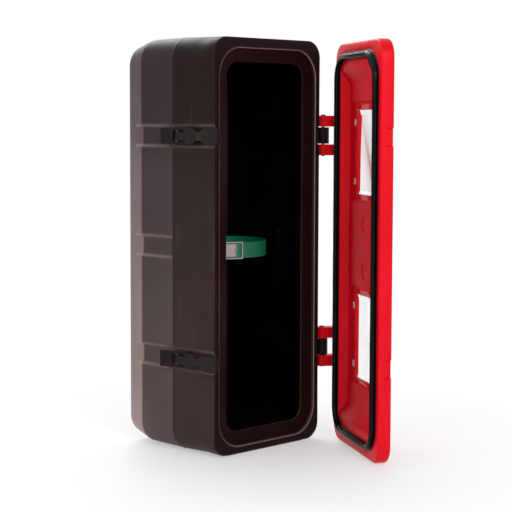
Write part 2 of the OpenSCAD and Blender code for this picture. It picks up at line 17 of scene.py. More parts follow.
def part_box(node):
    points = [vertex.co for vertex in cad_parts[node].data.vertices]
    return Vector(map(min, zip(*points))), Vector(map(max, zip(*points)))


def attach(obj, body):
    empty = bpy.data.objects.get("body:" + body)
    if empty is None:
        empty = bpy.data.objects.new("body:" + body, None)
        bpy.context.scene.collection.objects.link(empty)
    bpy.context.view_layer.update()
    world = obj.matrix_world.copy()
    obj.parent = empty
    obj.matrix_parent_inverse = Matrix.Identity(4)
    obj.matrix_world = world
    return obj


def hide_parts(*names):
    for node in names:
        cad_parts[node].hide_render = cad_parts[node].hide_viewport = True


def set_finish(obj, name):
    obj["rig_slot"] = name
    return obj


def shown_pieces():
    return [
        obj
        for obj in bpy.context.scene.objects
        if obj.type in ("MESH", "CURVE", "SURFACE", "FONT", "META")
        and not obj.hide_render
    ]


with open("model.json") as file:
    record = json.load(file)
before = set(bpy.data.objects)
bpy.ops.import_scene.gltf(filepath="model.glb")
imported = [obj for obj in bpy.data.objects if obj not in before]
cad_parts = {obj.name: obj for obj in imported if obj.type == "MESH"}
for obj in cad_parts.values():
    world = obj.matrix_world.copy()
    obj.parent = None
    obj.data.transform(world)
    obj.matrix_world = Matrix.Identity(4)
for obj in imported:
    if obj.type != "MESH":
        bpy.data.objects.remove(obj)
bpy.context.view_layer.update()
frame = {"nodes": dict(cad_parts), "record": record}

MM = 0.001
shell_low, shell_high = [np.array(c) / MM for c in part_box("cabinet_shell")]
print("cabinet shell from", shell_low.round(1), "to", shell_high.round(1), "mm")

# %% [markdown]
# The camera comes first. The place and the turn were worked out from the two vanishing points
# of the cabinet's edges, so the perspective is the photograph's own. The camera stands a little
# below the cabinet's top and looks down by five degrees through a long lens.

# %% Camera
IMAGE_PX = 512
FOCAL_PX = 1555.5
SENSOR_MM = 36.0
CAMERA_PLACE = Vector((-2.1972, -2.2147, 0.6459))
YAW, PITCH, ROLL = math.radians(44.0), math.radians(4.98), math.radians(0.18)

look = Vector((math.cos(YAW) * math.cos(PITCH), math.sin(YAW) * math.cos(PITCH), -math.sin(PITCH)))
right = Vector((math.sin(YAW), -math.cos(YAW), 0.0))
up = right.cross(look)
right, up = (math.cos(ROLL) * right + math.sin(ROLL) * up,
             math.cos(ROLL) * up - math.sin(ROLL) * right)
camera_data = bpy.data.cameras.new("camera")
camera_data.sensor_width = SENSOR_MM
camera_data.lens = FOCAL_PX * SENSOR_MM / IMAGE_PX
camera = bpy.data.objects.new("camera", camera_data)
bpy.context.scene.collection.objects.link(camera)
turn = Matrix((right, up, -look)).transposed()
camera.matrix_world = Matrix.Translation(CAMERA_PLACE) @ turn.to_4x4()
bpy.context.scene.camera = camera
print("lens", round(camera_data.lens, 1), "mm")

# %% [markdown]
# A shell is built ring by ring. One ring is a rectangle with round corners, and every ring has
# the same number of points, so that neighbours can be joined by quads. The corners take a fixed
# share of the points and the straight sides the rest.

# %% Rings and soft fields
CORNER_STEPS = 12


def soft_ramp(t, k):
    """Zero for negative t and t for positive t, rounded over about k: half of t + root(t2 + k2)."""
    return 0.5 * (t + np.sqrt(t * t + k * k))


def soft_min(a, b, k):
    """The smaller of two fields, with the crease between them rounded over about k."""
    return a - soft_ramp(a - b, k)


def smooth_step(t):
    """Nought below 0, one above 1, and 3 t2 - 2 t3 in between."""
    t = np.clip(t, 0, 1)
    return t * t * (3 - 2 * t)


def box_gap(x, z, half_w, half_h, radius):
    """Signed distance outwards from a rectangle with round corners, centred on the origin."""
    qx, qz = np.abs(x) - half_w + radius, np.abs(z) - half_h + radius
    return (np.hypot(np.maximum(qx, 0), np.maximum(qz, 0))
            + np.minimum(np.maximum(qx, qz), 0) - radius)


def ring(half_w, half_h, radius, side_t, top_t):
    """Points (x, z) of a rectangle with round corners. side_t and top_t run from 0 to 1 along
    the straight stretches; a corner is centre + radius * (cos, sin) of an even angle."""
    cx, cz = half_w - radius, half_h - radius
    angle = np.linspace(0, np.pi / 2, CORNER_STEPS + 1)[1:-1]
    arc = np.stack([np.cos(angle), np.sin(angle)], 1) * radius
    side = np.stack([np.full_like(side_t, half_w), cz * (2 * side_t - 1)], 1)
    top = np.stack([cx * (1 - 2 * top_t), np.full_like(top_t, half_h)], 1)
    first = np.concatenate([side, arc + [cx, cz], top,
                            arc[::-1] * [-1, 1] + [-cx, cz]])
    return np.concatenate([first, -first])


LEAST_STEP, EXACT_ROOM = 0.35, 0.4

def spread(low, high, step, fine=(), fine_step=1.5, exact=()):
    """Stations from low to high, closer together inside the fine ranges. The exact ones are
    kept as they are, and others that come too near to them give way."""
    exact = np.array([low, high, *exact])
    marks = [np.arange(low, high, step)]
    marks += [np.arange(max(a, low), min(b, high), fine_step) for a, b in fine]
    stations = np.unique(np.round(np.concatenate(marks), 3))
    stations = stations[np.concatenate([[True], np.diff(stations) > LEAST_STEP])]
    away = np.abs(stations[:, None] - exact[None, :]).min(1) > EXACT_ROOM
    return np.unique(np.concatenate([stations[away], exact]))


# %% [markdown]
# All new pieces pass through one small collector: it numbers points, joins tables of them by
# quads, fills flat faces round holes, and hands one finished mesh to Blender.

# %% Surface collector
class Surface:
    """Collects grids, caps and prisms into one mesh. Points are in millimetres."""

    def __init__(self):
        self.points, self.faces, self.count = [], [], 0

    def add(self, points):
        """Adds an array of points and returns their numbers in the same layout."""
        points = np.asarray(points, float)
        n = points.size // 3
        index = np.arange(self.count, self.count + n).reshape(points.shape[:-1])
        self.points.append(points.reshape(-1, 3))
        self.count += n
        return index

    def grid(self, index, close_u=True, close_v=False, drop=None):
        """Joins a table of point numbers by quads, closing it along either direction. drop
        marks the quads that stay open."""
        a = index
        if close_u:
            a = np.concatenate([a, a[:, :1]], 1)
        if close_v:
            a = np.concatenate([a, a[:1]], 0)
        quads = np.stack([a[:-1, :-1], a[:-1, 1:], a[1:, 1:], a[1:, :-1]], -1)
        if drop is not None:
            quads = quads[~drop]
        self.faces.extend(quads.reshape(-1, 4).tolist())

    def cap(self, outer, holes=()):
        """Fills a flat ring of points, leaving the rings in holes open."""
        every = np.concatenate(self.points)
        loops = [np.asarray(loop) for loop in (outer, *holes)]
        numbers = np.concatenate(loops)
        flat = [[Vector(every[i]) for i in loop] for loop in loops]
        self.faces.extend([[int(numbers[i]) for i in tri] for tri in tessellate_polygon(flat)])

    def prism(self, outline, low, high, place, holes=()):
        """Extrudes a closed outline, with holes in it, between two heights; place turns
        (u, v, w) into (x, y, z)."""
        tables = []
        for loop in (outline, *holes):
            loop = np.asarray(loop, float)
            rows = [place(np.column_stack([loop, np.full(len(loop), w)])) for w in (low, high)]
            tables.append(self.add(np.stack(rows)))
            self.grid(tables[-1])
        for end in (0, 1):
            self.cap(tables[0][end], [t[end] for t in tables[1:]])

    def build(self, name, sharp_deg=40):
        """Makes the object in metres, with its faces turned outwards and shaded smooth."""
        mesh = bpy.data.meshes.new(name)
        mesh.from_pydata((np.concatenate(self.points) * MM).tolist(), [], self.faces)
        work = bmesh.new()
        work.from_mesh(mesh)
        bmesh.ops.remove_doubles(work, verts=work.verts, dist=1e-6)
        bmesh.ops.recalc_face_normals(work, faces=work.faces)
        work.to_mesh(mesh)
        open_edges = sum(1 for e in work.edges if len(e.link_faces) != 2)
        work.free()
        mesh.shade_smooth()
        mesh.set_sharp_from_angle(angle=math.radians(sharp_deg))
        piece = bpy.data.objects.new(name, mesh)
        bpy.context.scene.collection.objects.link(piece)
        print(name, len(mesh.vertices), "points", len(mesh.polygons), "faces",
              open_edges, "open edges")
        return piece


def fit(piece, body, slot, *nodes):
    """Says which body a piece rides on, which finish it takes and which solids it stands for."""
    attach(piece, body)
    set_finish(piece, slot)
    if nodes:
        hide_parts(*nodes)


# %% [markdown]
# The cabinet body is one blow-moulded shell. Its widest line is the mould's parting line, from
# where both halves close in by their draft. Round the back runs a facet, and the sides carry
# recessed channels. All of it is one function of the depth and the place round the ring.

# %% Sizes of the cabinet body
HALF_W = shell_high[0]
HALF_H = (shell_high[2] - shell_low[2]) / 2
MID_Z = HALF_H
FRONT, BACK = shell_low[1], shell_high[1]
PARTING = FRONT + 113
FACET = BACK - 50
FRONT_DRAFT, REAR_DRAFT, FACET_INSET = 2.2, 1.9, 14.0
CORNER_R = 36.0
WALL = 4.5
UPPER_LINE, LOWER_LINE = 616.0, 185.0
MIDDLE_LINE = (UPPER_LINE + LOWER_LINE) / 2
CHANNEL_H, CHANNEL_FLOOR_H, CHANNEL_DEPTH, CHANNEL_REACH = 46.0, 32.0, 8.0, 14.0
FOOT_HALF, FOOT_BACK, FOOT_EDGE = 106.0, 6.0, 4.0
FLASH = 0.35
FRONT_BOW, BOW_DEPTH, BOW_REACH = 0.8, 60.0, 40.0
CORNER_GROWTH, GROWTH_START, GROWTH_LENGTH = 10.0, 4.0, 50.0
FACET_CORNER_SHARE = 0.75


def body_inset(y):
    """How far the skin lies inside the widest line: soft ramps from the parting line forward
    and back, and a steeper one over the rear facet. The skin keeps off the widest line by the
    height of the thin flash, which stands up along the parting line."""
    rear = REAR_DRAFT / (FACET - PARTING)
    facet = (FACET_INSET - REAR_DRAFT) / (BACK - FACET) - rear
    return (FRONT_DRAFT / (PARTING - FRONT) * soft_ramp(PARTING - y, 1.0)
            + rear * soft_ramp(y - PARTING, 1.0) + facet * soft_ramp(y - FACET, 3.0)
            + FLASH * (1 - np.exp(-((y - PARTING) / 0.6) ** 2)))


def channel_skin(y, z):
    """Half width of the body inside the channels: the distance from the mouth's edge, leaned
    and clamped at the floor. Far from a channel it grows, so that a minimum leaves the side
    alone. The middle channel starts at the parting line."""
    skin = np.full(np.broadcast(y, z).shape, 1e3)
    lean = CHANNEL_DEPTH / ((CHANNEL_H - CHANNEL_FLOOR_H) / 2)
    for line in (UPPER_LINE, LOWER_LINE, MIDDLE_LINE):
        gap = np.abs(z - line) - CHANNEL_H / 2
        pressed = HALF_W - CHANNEL_DEPTH + soft_ramp(gap * lean + CHANNEL_DEPTH, 1.2)
        if line == MIDDLE_LINE:
            pressed = np.where(y > PARTING + 0.5, pressed, 1e3)
        skin = np.minimum(skin, pressed)
    return skin


# %% The rings of the cabinet body
span = HALF_H - CORNER_R
side_z = spread(-span, span, 14, [(line - MID_Z - 36, line - MID_Z + 36)
                                  for line in (UPPER_LINE, LOWER_LINE, MIDDLE_LINE)])
side_t = (side_z / span + 1) / 2
top_x = spread(CORNER_R - HALF_W, HALF_W - CORNER_R, 16, [(-110, -101), (101, 110)], 2)
top_t = (top_x / top_x[-1] + 1) / 2


def body_ring(inset, y, centre_r=CORNER_R, base_inset=0.0):
    """One ring of the body at a depth. The corner's centre stays where the outline with
    centre_r at base_inset has it, so a larger inset gives a smaller corner. Over the rear
    facet the corner keeps most of its radius, as the round back corners of the real one do.
    Behind the front edge it grows by CORNER_GROWTH."""
    r = centre_r - (inset - base_inset)
    r += CORNER_GROWTH * smooth_step((y - FRONT - GROWTH_START) / GROWTH_LENGTH)
    if y > FACET:
        r += FACET_CORNER_SHARE * max(inset - base_inset - REAR_DRAFT - FLASH, 0)
    xz = ring(HALF_W - inset, HALF_H - inset, r, side_t, top_t)
    return np.column_stack([xz[:, 0], np.full(len(xz), y), xz[:, 1] + MID_Z])


def bow_sides(points):
    """The long sides of the cooled moulding bow in near the front: by FRONT_BOW at mid-height,
    falling off as 1 - (height / half height)2 up and down, and softly towards the back."""
    x, y, z = points.T
    upright = 1 - ((z - MID_Z) / HALF_H) ** 2
    bow = FRONT_BOW * upright * smooth_step((FRONT + BOW_DEPTH - y) / BOW_DEPTH)
    side = np.abs(x) > HALF_W - BOW_REACH
    return np.column_stack([x - np.sign(x) * bow * side, y, z])


def press_channels(points, extra=0.0):
    """Pushes the sides in to the channels; extra is the wall for the inner face."""
    x, y, z = points.T
    limit = channel_skin(y, z) - extra
    side = np.abs(x) > HALF_W - FACET_INSET - CHANNEL_REACH
    x_new = np.where(side, np.sign(x) * soft_min(np.abs(x), limit, 1.2), x)
    return np.column_stack([x_new, y, z])


def press_foot(points):
    """Brings the underside down to a flat standing face, with soft edges."""
    x, y, z = points.T
    across = smooth_step((FOOT_HALF + FOOT_EDGE / 2 - np.abs(x)) / FOOT_EDGE)
    front = smooth_step((y - FRONT - FOOT_BACK + FOOT_EDGE / 2) / FOOT_EDGE)
    rear = smooth_step((FACET + FOOT_EDGE / 2 - y) / FOOT_EDGE)
    flat = across * front * rear * (z < CORNER_R / 2)
    return np.column_stack([x, y, z * (1 - flat)])


BACK_EDGE_R, BACK_FLAT = 2.5, 5.5
outer_y = spread(FRONT + 1.5, BACK - BACK_EDGE_R, 7,
                 [(PARTING - 2.4, PARTING + 2.4), (FACET - 6, FACET + 6),
                  (BACK - 34, BACK - 16), (FRONT + 3, FRONT + 11)],
                 1.2, [PARTING - 0.5, PARTING, PARTING + 0.5, PARTING + 1.0])
rings = [press_foot(press_channels(bow_sides(body_ring(body_inset(y), y))))
         for y in outer_y][::-1]
back_fillet = [body_ring(body_inset(BACK) + BACK_EDGE_R * (1 - np.cos(a)) + 0.2,
                         BACK - BACK_EDGE_R * (1 - np.sin(a)))
               for a in np.radians([25, 50, 75, 90])]
back_rings = [body_ring(body_inset(BACK) + BACK_FLAT, BACK)] + back_fillet[::-1]
print(len(rings), "rings of", len(rings[0]), "points between the back and the front")

# %% [markdown]
# The front rim has a flat band, a step, a land that slopes inwards and the round edge of the
# opening. The upper and lower channels run out through the band, so the band gives way there:
# it is squeezed by what the side lost, all at its outer edge and nothing at its inner edge.

# %% The front rim
BAND_W, LAND_STEP, STEP_BEVEL, RIM_W, LAND_DEPTH, RIM_DEPTH = 16.5, 6.0, 2.0, 45.0, 10.0, 14.0
OPENING_R = 28.0
LAND_R = OPENING_R + RIM_W - BAND_W
EDGE_R = 2.4
STEP_DROP, OPENING_DROP, DROP_RISE = 6.0, 4.0, 0.6 * HALF_H


def top_share(z):
    """Nought at mid-height, one in the upper fifth, and a soft step in between."""
    return smooth_step((z - MID_Z) / DROP_RISE)


def land_ring(inset, depth):
    """A ring of the land, whose corners share the opening's centres. Its top part lies lower
    than an even band would have it: by STEP_DROP at the step, by OPENING_DROP at the opening."""
    points = body_ring(inset, FRONT + depth, LAND_R, BAND_W)
    drop = np.interp(inset, [BAND_W, RIM_W], [STEP_DROP, OPENING_DROP])
    points[:, 2] -= drop * top_share(points[:, 2])
    return points


edge_inset = float(body_inset(FRONT + EDGE_R))
plain_edge = body_ring(edge_inset, FRONT + EDGE_R)
squeeze = (press_channels(bow_sides(plain_edge)) - plain_edge) * [1, 0, 0]
rings = rings[:-1]
fillet = [body_ring(edge_inset + EDGE_R * (1 - np.cos(a)), FRONT + EDGE_R * (1 - np.sin(a)))
          + squeeze for a in np.radians([0, 22, 45, 68, 90])]
band_inner = land_ring(BAND_W - 0.8, 0)
band_share = (0.12, 0.35, 0.6, 0.85, 1.0)
band = [band_inner * s + fillet[-1] * (1 - s) + squeeze * [0.35, 0, 0] * s * (1 - s)
        for s in band_share]
land_profile = [(BAND_W - 0.3, 0.1), (BAND_W, 0.5), (BAND_W + 0.6, 1.6),
                (BAND_W + STEP_BEVEL - 0.4, LAND_STEP - 1.2),
                (BAND_W + STEP_BEVEL + 0.1, LAND_STEP - 0.35),
                (BAND_W + STEP_BEVEL + 1.2, LAND_STEP), (24, 6.9), (32, 8.2),
                (RIM_W - 3, LAND_DEPTH - 0.45), (RIM_W - 1.2, LAND_DEPTH - 0.1),
                (RIM_W - 0.3, LAND_DEPTH + 0.6), (RIM_W, LAND_DEPTH + 1.6), (RIM_W, RIM_DEPTH - 1),
                (RIM_W - 1, RIM_DEPTH)]
land = [land_ring(i, d) for i, d in land_profile]
print(len(fillet) + len(band) + len(land), "rings over the front rim")

# %% The inner face and the whole shell
inner_start = FRONT + RIM_DEPTH
inner_y = spread(inner_start + 1, BACK - WALL - 3, 9, [(PARTING - 6, PARTING + 1)], 2)


def inner_ring(y, inset):
    """One ring of the inner face. The channels' inner side starts a wall's thickness earlier."""
    plain = body_ring(inset, y)
    shifted = press_channels(plain + [0, WALL, 0], WALL) - [0, WALL, 0]
    at_middle = np.abs(plain[:, 2:3] - MIDDLE_LINE) < CHANNEL_H
    return np.where(at_middle, shifted, press_channels(plain, WALL))


inner = [inner_ring(y, float(body_inset(y)) + WALL) for y in inner_y]
rim_back = [inner_ring(inner_start, float(body_inset(inner_start)) + WALL + 1)]
inner_end = [body_ring(float(body_inset(BACK)) + WALL + i, BACK - WALL - d)
             for i, d in ((0.8, 0.8), (3, 0), (6, 0))]

FIXING_R, BOSS_R, BOSS_H = 4.25, 14.0, 4.0
FIXING_X, FIXING_Z = 75.0, 250.0


def circle(cx, cz, r, y, n=32):
    """Points of a circle on a plane across the depth."""
    a = np.linspace(0, 2 * np.pi, n, endpoint=False)
    return np.column_stack([cx + r * np.cos(a), np.full(n, y), cz + r * np.sin(a)])


shell = Surface()
all_rings = back_rings + rings + fillet + band + land + rim_back + inner + inner_end
table = shell.add(np.stack(all_rings))
shell.grid(table)
back_holes, inner_holes = [], []
boss_top = BACK - WALL - BOSS_H
boss_profile = [(FIXING_R + 3, BACK), (FIXING_R + 0.8, BACK), (FIXING_R, BACK - 0.8),
                (FIXING_R, boss_top + 0.5), (FIXING_R + 0.5, boss_top), (BOSS_R - 1, boss_top),
                (BOSS_R - 0.2, boss_top + 0.6), (BOSS_R, BACK - WALL - 0.6),
                (BOSS_R + 1, BACK - WALL), (BOSS_R + 3, BACK - WALL)]
for cx in (-FIXING_X, FIXING_X):
    for cz in (MID_Z - FIXING_Z, MID_Z + FIXING_Z):
        rows = shell.add(np.stack([circle(cx, cz, r, y) for r, y in boss_profile]))
        shell.grid(rows)
        back_holes.append(rows[0])
        inner_holes.append(rows[-1])
shell.cap(table[0], back_holes)
shell.cap(table[-1], inner_holes)
cabinet = shell.build("cabinet_body")


# %% [markdown]
# Some places of the moulding are painted apart from the rest. The step inside the band and the
# channels' sloping walls carry a painted highlight. The rim's front carries painted shade, and the
# walls of the cavity are painted nearly black as shade. The mesh carries each of these as a number
# for each point, which the material reads.

# %% Painted highlights along the edges
def point_values(piece, name, value_of):
    """Stores a number from 0 to 1 at every point, from a function of the point in millimetres
    and of its normal."""
    mesh = piece.data
    points, normals = np.empty(len(mesh.vertices) * 3), np.empty(len(mesh.vertices) * 3)
    mesh.vertices.foreach_get("co", points)
    mesh.vertices.foreach_get("normal", normals)
    value = value_of(points.reshape(-1, 3).T / MM, normals.reshape(-1, 3).T)
    attribute = mesh.attributes.new(name, "FLOAT", "POINT")
    attribute.data.foreach_set("value", np.clip(value, 0, 1).astype(np.float32))


# Widths of the painted highlight lines on the step and the channels' walls, and their strength.
STEP_LINE, WALL_LINE, WALL_HIGHLIGHT, SIDE_REACH = 0.6, 2.6, 0.40, 20.0


def body_painted_highlight(point, normal):
    """Painted highlights: bell curves over the distance from the step line and from the middle of
    the channels' walls."""
    x, y, z = point
    even_z = z - MID_Z + STEP_DROP * top_share(z)
    off_step = box_gap(x, even_z, HALF_W, HALF_H, LAND_R + BAND_W) + BAND_W
    step = np.exp(-(off_step / STEP_LINE) ** 2) * (y < FRONT + 1.2)
    wall = np.zeros_like(x)
    for line in (UPPER_LINE, LOWER_LINE, MIDDLE_LINE):
        gap = np.abs(z - line) - (CHANNEL_H + CHANNEL_FLOOR_H) / 4
        inside = (y > PARTING) if line == MIDDLE_LINE else (y > FRONT + 1)
        line_painted_highlight = WALL_HIGHLIGHT * np.exp(-(gap / WALL_LINE) ** 2)
        wall = np.maximum(wall, line_painted_highlight * inside * (np.abs(x) > HALF_W - SIDE_REACH))
    outer = box_gap(x, z - MID_Z, HALF_W, HALF_H, CORNER_R) > -8
    return np.maximum(step, wall * outer)


def cavity_painted_shade(point, normal):
    """One on the walls that face the cavity, where the material paints shade nearly black, else
    nought.
    """
    x, y, z = point
    side = normal[0] * np.sign(x) < -0.3
    end = (np.abs(x) < HALF_W - SIDE_REACH) & (normal[2] * np.sign(z - MID_Z) < -0.3)
    return ((y > FRONT + RIM_DEPTH - 2) & (side | end | (normal[1] < -0.5))).astype(float)


def rim_painted_shade(point, normal):
    """One on what faces forward at the rim, where the material paints shade, else nought, with a
    soft step in between.
    """
    return smooth_step((-normal[1] - 0.5) / 0.4) * (point[1] < FRONT + RIM_DEPTH)


# Painted highlight, painted shade at the rim and painted shade in the cavity, as numbers at the
# points.
point_values(cabinet, "painted_highlight", body_painted_highlight)
point_values(cabinet, "rim", rim_painted_shade)
point_values(cabinet, "cavity", cavity_painted_shade)
print("wear, rim and cavity numbers on", len(cabinet.data.vertices), "points")
fit(cabinet, "cabinet", "body_plastic", "cabinet_shell")

# %% [markdown]
# The door is a shallow moulded tray. Its rim is again a stack of rings: the outer face, the
# rounded edge, the flange and the groove that the seal lies in. The latch notches are pressed
# into the free edge. It is worked out closed, and every point is then turned about the hinge.

# %% Sizes of the door
HINGE_X, HINGE_Y = HALF_W + 23, FRONT + 14
DOOR_OPEN = math.radians(57.5)
DOOR_MARGIN, DOOR_TOP_MARGIN = 2.5, 8.5
DOOR_HALF_W = HALF_W - DOOR_MARGIN
DOOR_HALF_H = HALF_H - (DOOR_MARGIN + DOOR_TOP_MARGIN) / 2
DOOR_Z = DOOR_MARGIN + DOOR_HALF_H
FLANGE = FRONT - 4
DOOR_T, DOOR_EDGE_R = 26.0, 5.0
FACE = FLANGE - DOOR_T
NOTCH_HALF, NOTCH_DEPTH, LEDGE = 17.0, 8.0, 12.0
SEAL_INSET, GROOVE_HALF, GROOVE_DEPTH = 24.0, 9.0, 1.2
SEAL_R = LAND_R + BAND_W - DOOR_MARGIN - SEAL_INSET
PAN_HALF_W, PAN_HALF_H = DOOR_HALF_W - 36, DOOR_HALF_H - 47
PAN_DEPTH, PAN_LEAN, PAN_SLOPE = 21.5, 6.0, 34.0
FIELD_H, FIELD_SIDE = 3.5, 6.0
PAN = FLANGE - PAN_DEPTH
END_ROUND = 7.0
BAY_H, PANE_W, PANE_H, PANE_LEDGE = 194.0, 134.0, 186.0, 9.0
WINDOW_HALF_W, WINDOW_HALF_H, WINDOW_R = PANE_W / 2 - PANE_LEDGE, PANE_H / 2 - PANE_LEDGE, 6.0
FLOOR_END = PAN_HALF_H - PAN_SLOPE
UPPER_STRIP, LOWER_STRIP = 34.5, 42.5
UPPER_WINDOW = FLOOR_END - UPPER_STRIP - BAY_H / 2
LOWER_WINDOW = -FLOOR_END + LOWER_STRIP + BAY_H / 2
DIMPLE_R, DIMPLE_DEPTH, DIMPLE_Z = 16.0, 2.0, 45.0


def on_door(points):
    """Turns points of the closed door about the hinge's upright axis by the resting angle."""
    points = np.asarray(points, float)
    c, s = math.cos(DOOR_OPEN), math.sin(DOOR_OPEN)
    x, y = points[..., 0] - HINGE_X, points[..., 1] - HINGE_Y
    return np.stack([HINGE_X + c * x - s * y, HINGE_Y + s * x + c * y, points[..., 2]], -1)


# %% The door's rim
door_span = DOOR_HALF_H - CORNER_R
door_z = spread(-door_span, door_span, 16,
                [(line - DOOR_Z - s * NOTCH_HALF - 2.5, line - DOOR_Z - s * NOTCH_HALF + 2.5)
                 for line in (UPPER_LINE, LOWER_LINE) for s in (-1, 1)], 0.6)
door_side_t = (door_z / door_span + 1) / 2
door_top_t = np.linspace(0, 1, 13)


def door_ring(inset, y, radius):
    """One ring of the door, a given distance inside its outline."""
    xz = ring(DOOR_HALF_W - inset, DOOR_HALF_H - inset, radius, door_side_t, door_top_t)
    return np.column_stack([xz[:, 0], np.full(len(xz), y), xz[:, 1] + DOOR_Z])


def press_notches(points):
    """Pushes the free edge in at the two latch notches, from the outer face to the ledge."""
    x, y, z = points.T
    near = np.minimum(np.abs(z - UPPER_LINE), np.abs(z - LOWER_LINE))
    inside = (smooth_step((NOTCH_HALF - near) / 1.4 + 0.5)
              * smooth_step((FLANGE - LEDGE - y) / 1.2 + 0.5))
    floor = NOTCH_DEPTH - DOOR_HALF_W
    x_new = np.where((x < floor) & (inside > 0), x + inside * (floor - x), x)
    return np.column_stack([x_new, y, z])


def rim_inset(depth):
    """Inset and place of the rounded edges: r - r sin, r - r cos of an even angle."""
    a = np.radians([0, 18, 36, 54, 72, 90])
    return DOOR_EDGE_R * (1 - np.sin(a)), DOOR_EDGE_R * (1 - np.cos(a)) + depth


inset_arc, y_arc = rim_inset(0)
profile = [(10.0, FACE), (7.5, FACE)] + [(i, FACE + d) for i, d in zip(inset_arc, y_arc)]
profile += [(0, y) for y in (-148, FLANGE - LEDGE - 1.2, FLANGE - LEDGE - 0.6, FLANGE - LEDGE,
                             FLANGE - LEDGE + 0.6, FLANGE - LEDGE + 1.2)]
profile += [(i, FLANGE - d) for i, d in zip(inset_arc[::-1], y_arc[::-1])]
profile = [(i, y, CORNER_R - i) for i, y in profile]
groove_edge = (SEAL_INSET - GROOVE_HALF, SEAL_INSET + GROOVE_HALF)
profile += [(i, y, SEAL_R + SEAL_INSET - i) for i, y in (
    (8.5, FLANGE), (groove_edge[0] - 0.8, FLANGE), (groove_edge[0] - 0.2, FLANGE - 0.2),
    (groove_edge[0], FLANGE - GROOVE_DEPTH + 0.2), (groove_edge[0] + 0.6, FLANGE - GROOVE_DEPTH),
    (SEAL_INSET, FLANGE - GROOVE_DEPTH), (groove_edge[1] - 0.6, FLANGE - GROOVE_DEPTH),
    (groove_edge[1], FLANGE - GROOVE_DEPTH + 0.2), (groove_edge[1] + 0.15, FLANGE - 0.1),
    (groove_edge[1] + 0.4, FLANGE))]
rim_rows = [press_notches(door_ring(i, y, r)) for i, y, r in profile]

# %% [markdown]
# The inside of the tray is a height field over a grid: steep side walls, long sloping ends, a
# floor, three raised fields and two round dimples, all joined by soft minima so that every
# inner corner gets the round fillet of a moulding. The two window openings are left out of the
# grid, and their walls are carried through to the outer face.


# %% The tray's height field
def tray_depth(x, z):
    """Depth below the flange: the smaller of the side wall (distance times its slope), the
    sloping end and the floor; the floor rises on the fields and dips in the dimples."""
    side = soft_ramp((PAN_HALF_W - np.abs(x)) * PAN_DEPTH / PAN_LEAN, 1.6)
    end = soft_ramp((PAN_HALF_H - END_ROUND - np.abs(z)) * PAN_DEPTH / (PAN_SLOPE - END_ROUND), 1.6)
    field_half = PAN_HALF_W - PAN_LEAN - FIELD_SIDE
    middle = (UPPER_WINDOW + LOWER_WINDOW) / 2
    middle_half = (UPPER_WINDOW - LOWER_WINDOW - BAY_H) / 2
    gaps = [box_gap(x, z - middle, field_half, middle_half, 8)]
    for window, s in ((UPPER_WINDOW, 1), (LOWER_WINDOW, -1)):
        inner, outer = window + s * BAY_H / 2, s * PAN_HALF_H
        gaps.append(box_gap(x, z - (inner + outer) / 2, field_half, abs(outer - inner) / 2, 8))
    field = smooth_step(0.5 - np.minimum.reduce(gaps) / 3.0)
    dimple = np.zeros(np.broadcast(x, z).shape)
    for s in (-1, 1):
        dimple += smooth_step((DIMPLE_R - np.hypot(x, z - s * DIMPLE_Z)) / 2.0 + 0.5)
    floor = PAN_DEPTH - FIELD_H * field + DIMPLE_DEPTH * dimple
    return soft_min(soft_min(side, floor, 4.5), soft_min(end, floor, 2.2), 4.0)


half_x, half_z = PAN_HALF_W + 1.3, PAN_HALF_H + 1.8
tray_x = spread(-half_x, half_x, 9, [(-half_x, -98), (98, half_x), (-19, 19)], 1.3,
                (-WINDOW_HALF_W, WINDOW_HALF_W))
fine_z = [(s * e - 4, s * e + 4) for s in (-1, 1) for e in (PAN_HALF_H, FLOOR_END)]
fine_z += [(w + s * BAY_H / 2 - 3.5, w + s * BAY_H / 2 + 3.5)
           for w in (UPPER_WINDOW, LOWER_WINDOW) for s in (-1, 1)]
fine_z += [(s * DIMPLE_Z - 19, s * DIMPLE_Z + 19) for s in (-1, 1)]
window_ends = [w + s * WINDOW_HALF_H for w in (UPPER_WINDOW, LOWER_WINDOW) for s in (-1, 1)]
tray_z = spread(-half_z, half_z, 12, fine_z, 1.3, window_ends)
gx, gz = np.meshgrid(tray_x, tray_z)
depth = tray_depth(gx, gz)
depth[[0, -1], :] = 0
depth[:, [0, -1]] = 0
depth = np.maximum(depth, 0)
print("tray grid", depth.shape, "deepest", round(float(depth.max()), 1), "mm")


def round_hole(x, z, centre, half_w, half_h, r, extra=0.0):
    """Points of a rectangle, each carried out from its corner's centre to radius r + extra."""
    qx = np.clip(x, -half_w + r, half_w - r)
    qz = np.clip(z - centre, -half_h + r, half_h - r)
    dx, dz = x - qx, z - centre - qz
    length = np.maximum(np.hypot(dx, dz), 1e-9)
    return qx + dx / length * (r + extra), centre + qz + dz / length * (r + extra)


def rim_loop(j0, j1, i0, i1):
    """Row and column numbers round a rectangle of the grid, once round."""
    tall, wide = j1 - j0, i1 - i0
    cols = np.concatenate([np.arange(i0, i1), np.full(tall, i1),
                           np.arange(i1, i0, -1), np.full(tall, i0)])
    rows = np.concatenate([np.full(wide, j0), np.arange(j0, j1),
                           np.full(wide, j1), np.arange(j1, j0, -1)])
    return rows, cols


